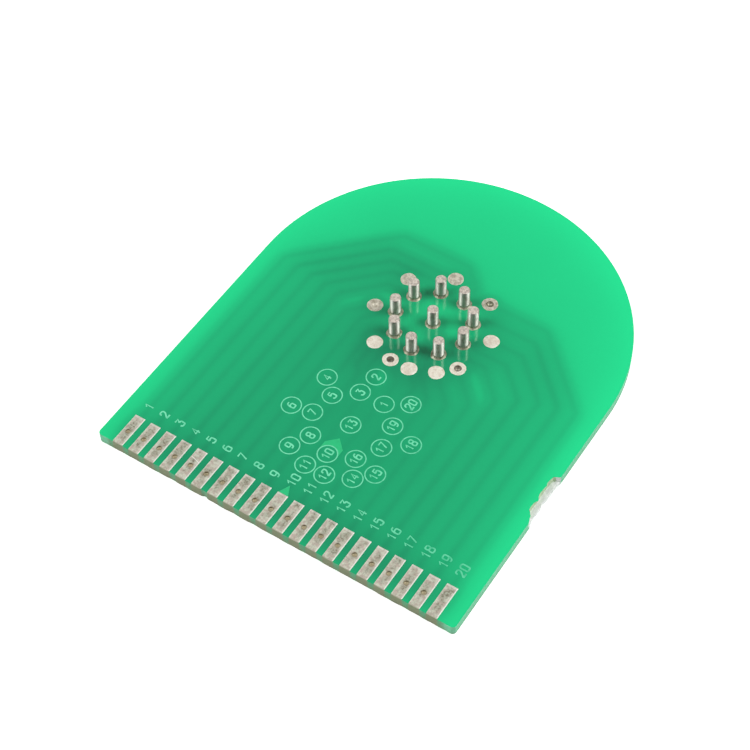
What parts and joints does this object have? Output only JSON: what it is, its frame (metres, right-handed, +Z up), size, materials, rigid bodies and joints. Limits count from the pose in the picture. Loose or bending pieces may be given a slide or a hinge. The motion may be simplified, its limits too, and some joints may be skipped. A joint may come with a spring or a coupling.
{
  "type": "printed circuit board",
  "caption": "Round-ended green adapter board with tinned edge contacts, underside tracks, a ring of soldered pins and an outer ring of solder-filled holes.",
  "frame": {"origin": "under the middle of the board's outline, on the plane the board rests on", "axes": "+Z up out of the pinned face, +X along the contact edge from contact 1 to contact 20, +Y from the contact edge to the round end"},
  "size_m": [0.0548, 0.0666, 0.0047],
  "materials": {
    "laminate": "glass-epoxy laminate under glossy green solder mask",
    "tinned_copper": "copper foil with a dull, scratched tin finish, under mask along the tracks",
    "tinned_pin": "turned and tin plated",
    "solder": "satin tin-lead solder"
  },
  "bodies": {
    "root": {"board": "laminate", "hole_solder_02": "solder", "hole_solder_04": "solder", "hole_solder_06": "solder", "hole_solder_09": "solder", "hole_solder_11": "solder", "hole_solder_12": "solder", "hole_solder_14": "solder", "hole_solder_15": "solder", "hole_solder_18": "solder", "hole_solder_20": "solder", "net_01": "tinned_copper", "net_02": "tinned_copper", "net_03": "tinned_copper", "net_04": "tinned_copper", "net_05": "tinned_copper", "net_06": "tinned_copper", "net_07": "tinned_copper", "net_08": "tinned_copper", "net_09": "tinned_copper", "net_10": "tinned_copper", "net_11": "tinned_copper", "net_12": "tinned_copper", "net_13": "tinned_copper", "net_14": "tinned_copper", "net_15": "tinned_copper", "net_16": "tinned_copper", "net_17": "tinned_copper", "net_18": "tinned_copper", "net_19": "tinned_copper", "net_20": "tinned_copper", "pin_01": "tinned_pin", "pin_03": "tinned_pin", "pin_05": "tinned_pin", "pin_07": "tinned_pin", "pin_08": "tinned_pin", "pin_10": "tinned_pin", "pin_13": "tinned_pin", "pin_16": "tinned_pin", "pin_17": "tinned_pin", "pin_19": "tinned_pin", "pin_solder_01": "solder", "pin_solder_03": "solder", "pin_solder_05": "solder", "pin_solder_07": "solder", "pin_solder_08": "solder", "pin_solder_10": "solder", "pin_solder_13": "solder", "pin_solder_16": "solder", "pin_solder_17": "solder", "pin_solder_19": "solder"}
  },
  "joints": []
}
